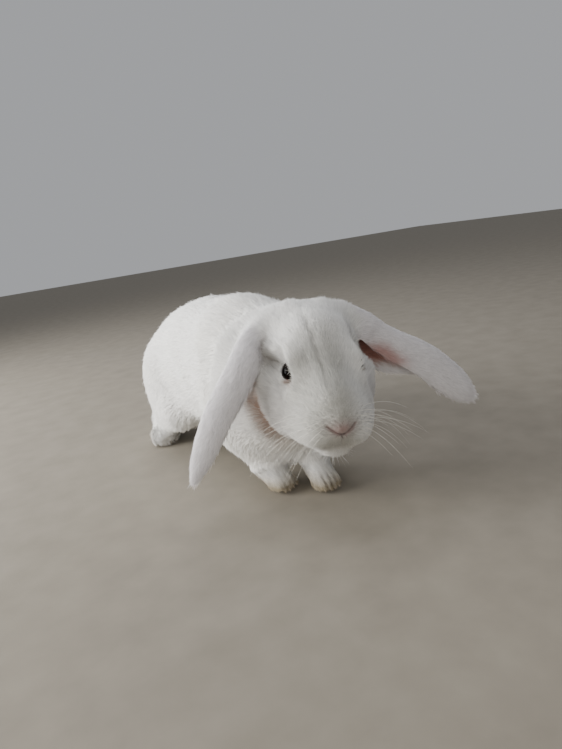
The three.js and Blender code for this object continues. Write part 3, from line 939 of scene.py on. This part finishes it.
def map_place(points, parts, inside):
    """Each point's place on the skin's map."""
    place = np.zeros((len(points), 2))
    for number, name in enumerate(FLESH):
        mine = parts == number
        if not mine.any():
            continue
        centre, axes, low, high = long_axes[name]
        local = (points[mine] - centre) @ axes.T
        u = np.arctan2(local[:, 2], local[:, 1]) / (2 * math.pi) + 0.5
        v = np.clip((local[:, 0] - low) / (high - low), 0, 1)
        tile = np.full(mine.sum(), number)
        if name.startswith("ear"):
            tile[inside[mine]] = TILES.index(name + "_inside")
        corner = np.stack([tile % PER_ROW, tile // PER_ROW], 1) * TILE
        place[mine] = corner + TILE_RIM + np.stack([u, v], 1) * (TILE - 2 * TILE_RIM)
    return place


# %% [markdown]
# ## The coat
#
# Each lock is a thin solid leaf of hair. Long hair leaves the skin steeply and then lies back, so its
# lock has a bend. The short hair of face, ears and feet lies flat and straight, and its lock is only a
# long pyramid of four faces. Locks are joined meshes made from arrays, because each one follows the skin
# under it: its length, lie, height and colour all come from its root. Roots are scattered with a fixed
# seed and then thinned to one in each small cell of space, so that no bald patch and no crowd is left.

# %% Where locks grow
FUR_LENGTH = dict(
    trunk=13.0, neck=12.5, head=9.5, tail=15.0, ear=8.0, foreleg=9.5, forepaw=6.0, hindleg=12.5, hindfoot=8.5
)
FUR_WIDTH = dict(
    trunk=1.35, neck=1.3, head=1.0, tail=1.3, ear=0.95, foreleg=1.15, forepaw=0.9, hindleg=1.3, hindfoot=1.05
)
LOCK_SPACING = dict(
    trunk=1.02, neck=0.95, head=0.7, tail=1.0, ear=0.76, foreleg=0.9, forepaw=0.7, hindleg=1.02, hindfoot=0.75
)
CROWDING = 1.9  # roots tried for each cell
CELL_PRIMES = [73856093, 19349663, 83492791]  # so large that hardly any two cells share a key
rng = np.random.default_rng(11)

length = by_part(FUR_LENGTH) * (1 - 0.7 * muzzle)
width = by_part(FUR_WIDTH) * (1 - 0.45 * muzzle) * (1 - 0.4 * fringe)
ear_rim = 4 * inner_ear * (1 - inner_ear) * in_ear
length = length * (1 - 0.65 * near_lids) * (1 - 0.4 * inner_core) * (1 - 0.25 * furrow)
length = length + 2 * ear_rim + 11 * fringe
depth = depth * (1 - 0.6 * near_lids) * (1 - 0.4 * furrow) + 1.1 * ear_rim + 6 * fringe

on_nose = at_front * nose_oval(-11.5, 5, 4)
on_slits = at_front * bell(nostril, 0.7)
sole = smooth_step(-0.6, -0.85, normals[:, 2]) * (skin_points[:, 2] < 4 * MM)
inside_ear = inner_core * smooth_step(1.0, 0.7, ear_reach)
bare = np.max([smooth_step(1.3, 1.15, opening), on_slits, 0.7 * on_nose, 0.6 * inside_ear, sole], axis=0)

corner = skin_points[triangles]
face_cross = np.cross(corner[:, 1] - corner[:, 0], corner[:, 2] - corner[:, 0])
face_area = np.linalg.norm(face_cross, axis=1) / 2
face_part = part[triangles[:, 0]]
spacing = looked_up(LOCK_SPACING)[face_part] * MM
cumulative = np.cumsum(face_area / spacing**2 * CROWDING)
chosen = np.searchsorted(cumulative, rng.random(int(cumulative[-1])) * cumulative[-1])
weights = rng.dirichlet((1, 1, 1), len(chosen))


def at_roots(values):
    """A value of the skin's points, at each root."""
    flat = values.reshape(len(values), -1)
    mixed = sum(flat[triangles[chosen, i]] * weights[:, i : i + 1] for i in range(3))
    return mixed.reshape((len(chosen),) + values.shape[1:])


cells = np.floor(at_roots(skin_points) / spacing[chosen][:, None]).astype(np.int64)
key = np.bitwise_xor.reduce(cells * CELL_PRIMES, axis=1)
keep = np.sort(np.unique(key * 16 + face_part[chosen], return_index=True)[1])
keep = keep[rng.random(len(keep)) > at_roots(bare)[keep]]
chosen, weights = chosen[keep], weights[keep]
root_part = face_part[chosen]
print("locks:", len(chosen), {n: int((root_part == i).sum()) for i, n in enumerate(FLESH)})

# %% [markdown]
# ## How each lock lies
#
# Neighbouring hairs clump, and clumps differ a little in direction, height and shade. Soft random
# fields, whose waves are a few millimetres long, move whole clumps, and a small chance of its own moves
# each lock. A few guard hairs are longer and finer than the rest and blur the outline.


# %% How each lock lies
def ripple(points, size_mm, seed):
    """A soft random field between about -1 and 1, whose waves are so many millimetres long."""
    own = np.random.default_rng(seed)
    total = np.zeros(len(points))
    for _ in range(7):
        way = unit(own.normal(size=3)) * 2 * math.pi / (size_mm * MM * own.uniform(0.7, 1.5))
        total += np.sin(points @ way + own.uniform(0, 2 * math.pi))
    return total / 2.6


root = at_roots(skin_points)
root_normal = unit(at_roots(normals))
root_lie = unit(at_roots(lie))
root_lie = unit(root_lie - root_normal * (root_lie * root_normal).sum(1)[:, None])
root_side = np.cross(root_normal, root_lie)
root_inside = at_roots(inner_ear) > 0.5

GUARD_SHARE = 0.07
guard = rng.random(len(root)) < GUARD_SHARE
swerve = np.radians(7) * ripple(root, 20, 1) + np.radians(7) * ripple(root, 6, 2)
swerve += np.radians(8) * rng.normal(size=len(root))
root_lie, root_side = (
    root_lie * np.cos(swerve)[:, None] + root_side * np.sin(swerve)[:, None],
    root_side * np.cos(swerve)[:, None] - root_lie * np.sin(swerve)[:, None],
)
clump = ripple(root, 4, 4)
lock_length = at_roots(length) * MM * rng.uniform(0.8, 1.15, len(root)) * (1 + 0.06 * ripple(root, 9, 3))
lock_length = lock_length * np.where(guard, 1.12, 1)
lock_height = at_roots(depth) * MM * rng.uniform(0.7, 1.0, len(root)) * (1 + 0.12 * clump)
lock_height = lock_height * np.where(guard, 1.35, 1)
lock_height = np.clip(lock_height, 0.25 * MM, lock_length * 0.8)
lock_width = at_roots(width) * MM * rng.uniform(0.75, 1.2, len(root)) * np.where(guard, 0.55, 1)
lock_run = np.sqrt(lock_length**2 - lock_height**2)
lock_shade = rng.uniform(0.86, 1.05, len(root)) * (1 + 0.04 * clump + 0.03 * ripple(root, 2, 5))
# the skin's markings and painted shade at each root
root_markings_and_shade = at_roots(marking)
print("longest lock, mm:", round(float(lock_length.max() / MM), 1), "guard hairs:", int(guard.sum()))

# %% The two shapes of lock
ROOT_SINK = 0.4 * MM
ROOT_SHADE = 0.8  # hair is a little darker where its neighbours shade its root
LEAST_Z = 0.15 * MM  # no hair goes through the floor

SHORT_FACES = np.array([[0, 2, 1], [0, 1, 3], [1, 2, 3], [2, 0, 3]])
LONG_FACES = [[0, 2, 1], [0, 1, 4], [0, 4, 3], [1, 2, 5], [1, 5, 4], [2, 0, 3], [2, 3, 5]]
LONG_FACES = np.array(LONG_FACES + [[3, 4, 6], [4, 5, 6], [5, 3, 6]])
SHORT_MAP = [[-1, -1], [1, -1], [0, -0.4], [0, 1]]
LONG_MAP = [[-1, -1], [1, -1], [0, -1], [-1, 0], [1, 0], [0, 0], [0, 1]]
PATCH = 0.003  # how much of the skin's map one lock takes
print("faces of a short lock:", len(SHORT_FACES), "and of a long one:", len(LONG_FACES))


def lock_corners(pick, bent):
    """The corners of each lock: three at the root, three halfway if it is bent, and the tip."""
    n, f, b = root_normal[pick], root_lie[pick], root_side[pick]
    run, high, wide = (v[pick][:, None] for v in (lock_run, lock_height, lock_width))
    start = root[pick] - n * ROOT_SINK
    base = 0.32 if bent else 0.5
    corners = [start - b * wide * base, start + b * wide * base, start + n * wide * 0.35 - f * wide * 0.2]
    if bent:
        middle = root[pick] + n * high * 0.69 + f * run * 0.47
        corners += [middle - b * wide * 0.5 - n * wide * 0.12, middle + b * wide * 0.5 - n * wide * 0.12]
        corners += [middle + n * wide * 0.2]
    corners.append(root[pick] + n * high + f * run)
    points = np.stack(corners, 1)
    points[:, :, 2] = np.maximum(points[:, :, 2], LEAST_Z)
    return points


def soft_normals(points, shape, skin_normals):
    """The skin's normal for each face, turned round where the face looks the other way.

    Light then falls on a lock as on the coat as a whole, and no face is left black.
    """
    corner = points.reshape(-1, 3)[shape]
    face = unit(np.cross(corner[:, 1] - corner[:, 0], corner[:, 2] - corner[:, 0]))
    facing = (skin_normals * face).sum(1)[:, None]
    return unit(skin_normals - 2 * np.minimum(facing, 0) * face + 0.7 * face)


def coat_piece(name, pick, bent):
    """One mesh of locks, with its markings and painted shade, its soft normals and its map."""
    points = lock_corners(pick, bent)
    count, corners = points.shape[:2]
    faces = LONG_FACES if bent else SHORT_FACES
    shape = (faces + corners * np.arange(count)[:, None, None]).reshape(-1, 3)
    piece = mesh_piece(name, points.reshape(-1, 3), shape, coat_material)
    colours = np.repeat((root_markings_and_shade[pick] * lock_shade[pick, None])[:, None, :], corners, axis=1)
    colours[:, :3] *= ROOT_SHADE
    paint(piece, colours.reshape(-1, 3))
    soft = soft_normals(points, shape, np.repeat(root_normal[pick], len(faces), axis=0))
    piece.data.normals_split_custom_set(np.repeat(soft, 3, axis=0))
    place = map_place(root[pick], root_part[pick], root_inside[pick])
    spot = np.array(LONG_MAP if bent else SHORT_MAP) * PATCH / 2
    uv = (place[:, None, None, :] + spot[faces][None]).reshape(-1, 2)
    layer = piece.data.uv_layers.new(name="OFBake")
    layer.data.foreach_set("uv", uv.astype(np.float32).ravel())
    return piece


# %% The coat's pieces
COATS = {  # name: the parts it covers, and whether its hair is long enough to bend
    "coat_head": (["head"], False),
    "coat_ears": (["ear"], False),
    "coat_paws": (["forepaw", "hindfoot"], False),
    "coat_neck": (["neck"], True),
    "coat_trunk": (["trunk"], True),
    "coat_tail": (["tail"], True),
    "coat_legs": (["foreleg", "hindleg"], True),
}
coats = []
for name, (members, bent) in COATS.items():
    pick = np.flatnonzero(np.isin(root_part, named(*members)))
    pieces = math.ceil(len(pick) * (len(LONG_FACES) if bent else len(SHORT_FACES)) / MOST_TRIANGLES)
    for i in range(pieces):
        ending = f"_{i + 1}" if pieces > 1 else ""
        coats.append(coat_piece(name + ending, pick[i::pieces], bent))
print({o.name: len(o.data.polygons) for o in coats}, sum(len(o.data.polygons) for o in coats))

# %% [markdown]
# ## The eyes
#
# A rabbit's eye is nearly all iris and pupil, so dark that it reads as black, under a clear wet
# cornea. It is a sphere with a slight bulge in front, in place of the plain sphere of the solid.


# %% The eyes
CORNEA_IOR = 1.376
# radians from the middle of the pupil, and the colour there
IRIS = [(0.30, "#020101"), (0.36, "#0e0806"), (0.66, "#0a0605"), (0.74, "#060404")]


def eye_material():
    """A brown iris round a black pupil, under a glossy surface."""
    material, tree = new_material("wet_eye")
    turn = add_node(tree, "ShaderNodeAttribute", attribute_name="from_pupil").outputs["Fac"]
    iris = add_node(tree, "ShaderNodeValToRGB", {"Fac": turn})
    stops = iris.color_ramp.elements
    for number, (angle, colour) in enumerate(IRIS):
        stop = stops[number] if number < len(stops) else stops.new(angle)
        stop.position, stop.color = angle, (*linear(colour), 1)
    inputs = {
        "Base Color": iris.outputs["Color"],
        "Roughness": 0.1,
        "IOR": CORNEA_IOR,
        "Specular IOR Level": 0.04,  # kept low, for a dim glint; the lashes shade it
    }
    shader = add_node(tree, "ShaderNodeBsdfPrincipled", inputs)
    add_node(tree, "ShaderNodeOutputMaterial", {"Surface": shader.outputs[0]})
    return material


def eyeball(name, side, material, rings=40, segments=56):
    """A sphere about the eye's centre, with its pole at the pupil and a bulging cornea."""
    look, front, brow = eye_directions(side)
    angle = np.linspace(0, math.pi, rings + 1)
    radius = eye_surface(angle)
    turn = np.linspace(0, 2 * math.pi, segments, endpoint=False)
    points, far = [look * radius[0]], [0.0]
    for a, r in zip(angle[1:-1], radius[1:-1]):
        for t in turn:
            points.append(r * (look * math.cos(a) + math.sin(a) * (front * math.cos(t) + brow * math.sin(t))))
            far.append(a)
    points.append(-look * radius[-1])
    far.append(math.pi)
    faces = []
    last = len(points) - 1
    for k in range(segments):
        j = (k + 1) % segments
        faces.append((0, 1 + k, 1 + j))
        faces.append((last, last - segments + j, last - segments + k))
        for i in range(rings - 2):
            a, b = 1 + i * segments + k, 1 + i * segments + j
            faces += [(a, a + segments, b + segments), (a, b + segments, b)]
    faces = np.array(faces)
    if np.cross(front, brow) @ look < 0:
        faces = faces[:, ::-1]
    points = from_head(np.array(points) + eye_centre(side))
    piece = mesh_piece(name, points, faces, material)
    layer = piece.data.attributes.new("from_pupil", "FLOAT", "POINT")
    layer.data.foreach_set("value", np.array(far, np.float32))
    return piece


eye_look = eye_material()
eyeballs = [eyeball("eyeball_right", -1, eye_look), eyeball("eyeball_left", 1, eye_look)]
print("faces of each eyeball:", [len(piece.data.polygons) for piece in eyeballs])

# %% [markdown]
# ## Whiskers, brow hairs and claws
#
# A whisker is a single stiff hair: a bent spike, thick at the root and drawn out to nothing. So is a
# claw, only shorter and stouter. Both are a line that is given thickness, which is what Geometry Nodes
# are good at: one tree turns every line into a tapered tube, and its inputs say how thick and how round.
# The lines come from a short formula, since a whisker droops as a thrown stone falls.


# %% The tree that gives lines their thickness
def strand_tree(material):
    """Geometry Nodes that sweep a tapering ring along each line of a mesh."""
    tree = bpy.data.node_groups.new("tapered_strands", "GeometryNodeTree")
    ports = tree.interface
    ports.new_socket("Lines", in_out="INPUT", socket_type="NodeSocketGeometry")
    ports.new_socket("Root thickness", in_out="INPUT", socket_type="NodeSocketFloat")
    ports.new_socket("Sides", in_out="INPUT", socket_type="NodeSocketInt")
    ports.new_socket("Strands", in_out="OUTPUT", socket_type="NodeSocketGeometry")
    entry = add_node(tree, "NodeGroupInput").outputs
    taper = add_node(tree, "GeometryNodeInputNamedAttribute", {"Name": "taper"}, data_type="FLOAT")
    size = add_node(
        tree,
        "ShaderNodeMath",
        {0: taper.outputs["Attribute"], 1: entry["Root thickness"]},
        operation="MULTIPLY",
    )
    lines = add_node(tree, "GeometryNodeMeshToCurve", {"Mesh": entry["Lines"]})
    ring = add_node(tree, "GeometryNodeCurvePrimitiveCircle", {"Resolution": entry["Sides"], "Radius": 0.5})
    tubes = add_node(
        tree,
        "GeometryNodeCurveToMesh",
        {
            "Curve": lines.outputs["Curve"],
            "Profile Curve": ring.outputs["Curve"],
            "Scale": size.outputs["Value"],
            "Fill Caps": True,
        },
    )
    real = add_node(tree, "GeometryNodeRealizeInstances", {"Geometry": tubes.outputs["Mesh"]})
    dressed = add_node(
        tree, "GeometryNodeSetMaterial", {"Geometry": real.outputs["Geometry"], "Material": material}
    )
    add_node(tree, "NodeGroupOutput", {0: dressed.outputs["Geometry"]})
    return tree


def strands(name, lines, thickness, sides, material):
    """Lines of points, as one mesh of tapered tubes."""
    count = lines[0].shape[0]
    mesh = bpy.data.meshes.new(name + "_lines")
    steps = [(n * count + i, n * count + i + 1) for n in range(len(lines)) for i in range(count - 1)]
    mesh.from_pydata(np.concatenate(lines).tolist(), steps, [])
    taper = np.tile(np.sqrt(np.linspace(1, 0.003, count)), len(lines))
    mesh.attributes.new("taper", "FLOAT", "POINT").data.foreach_set("value", taper)
    inputs = {"Root thickness": thickness, "Sides": sides}
    made = modified(mesh, "NODES", inputs, node_group=strand_tree(material))
    made.name = name
    made.shade_smooth()
    print(name, len(lines), "strands,", len(made.polygons), "faces")
    return placed(name, made)


STREAK = 1.2 * MM


def horn(name, one, other, roughness):
    """Keratin, as in whiskers and claws: smooth, and mottled between two colours."""
    material, tree = new_material(name)
    place = add_node(tree, "ShaderNodeTexCoord").outputs["Object"]
    streak = add_node(tree, "ShaderNodeTexNoise", {"Vector": place, "Scale": 1 / STREAK})
    mottled = add_node(
        tree,
        "ShaderNodeMix",
        {0: streak.outputs["Fac"], 6: (*linear(one), 1), 7: (*linear(other), 1)},
        data_type="RGBA",
    )
    inputs = {"Base Color": mottled.outputs[2], "Roughness": roughness, "IOR": KERATIN_IOR}
    shader = add_node(tree, "ShaderNodeBsdfPrincipled", inputs)
    add_node(tree, "ShaderNodeOutputMaterial", {"Surface": shader.outputs[0]})
    return material


# %% Whiskers and brow hairs
WHISKER_THICK = 0.24 * MM
WHISKER_STEPS = 14
HAIR_SINK = 0.6 * MM
steps_along = np.linspace(0, 1, WHISKER_STEPS)[:, None]
skin_tree = BVHTree.FromPolygons([Vector(p) for p in skin_points], triangles.tolist())


def drooping(root_at, way, reach, droop):
    """A hair of some length, mm, from a point of the skin, that sets out one way and sinks."""
    spot, normal, _, _ = skin_tree.find_nearest(Vector(from_head(np.array(root_at))))
    start = np.array(spot) - np.array(normal) * HAIR_SINK
    straight = unit(head_axes @ np.array(way, float))
    down = np.array([0, 0, -1.0]) * droop
    return start + (straight * steps_along + down * steps_along**2) * reach * MM


hairs = []
for side in (-1, 1):
    for place, row, rank, longest in whisker_roots:
        way = [side * (0.85 - 0.15 * rank), -0.34 + 0.62 * rank + 0.06 * row, 0.2 - 0.18 * row]
        way = np.array(way) + rng.normal(size=3) * 0.09
        reach = longest * (0.62 + 0.38 * rank) * rng.uniform(0.8, 1.1)
        hairs.append(drooping(place * np.array([side, 1, 1]), way, reach, rng.uniform(0.3, 0.65)))
    for k in range(3):
        at = [side * 22, -14 + 5 * k, 21]
        way = [side * 0.3, -0.25 + 0.2 * k, 0.9]
        hairs.append(drooping(at, way, 15 - 2 * k, 0.3))
whisker_material = horn("whisker_hair", "#f3f0ea", "#e2dccf", 0.35)
whiskers = strands("whiskers", hairs, WHISKER_THICK, 5, whisker_material)

# %% Claws
CLAW_LONG, CLAW_THICK = 5.0, 1.5  # mm
CLAW_LEVEL = 5 * MM  # the height at which a claw leaves its toe
TOE_TOP = 9 * MM


def claw_lines(name):
    """A short bent spike at the front of each toe."""
    ahead, aside, low, width, toes = toe_lines[name]
    mine = skin_points[(part == FLESH.index(name)) & (skin_points[:, 2] < TOE_TOP)]
    lines = []
    for toe in range(toes):
        own = mine[np.abs(mine @ aside - low - (toe + 0.5) * width) < 1.2 * MM]
        tip = own[(own @ ahead).argmax()]
        start = np.array([tip[0], tip[1], CLAW_LEVEL]) - ahead * 2.0 * MM
        along = steps_along[::2]
        lines.append(start + (ahead * along + np.array([0, 0, -0.7]) * along**1.6) * CLAW_LONG * MM)
    return lines


spikes = [line for name in FEET for line in claw_lines(name)]
claw_material = horn("claw_horn", "#d9c8b4", "#b9a48c", 0.4)
claws = strands("claws", spikes, CLAW_THICK * MM, 8, claw_material)

# %% [markdown]
# ## The pieces on one body
#
# Every piece rides on the one body, the skin stands for all of the solid flesh, and the solids stay in
# the scene, hidden.

# %% The pieces on one body
for piece in [skin, *coats, *eyeballs, whiskers, claws]:
    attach(piece, "root")
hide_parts(*FLESH)
for piece, node in zip(eyeballs, EYES):
    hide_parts(node)
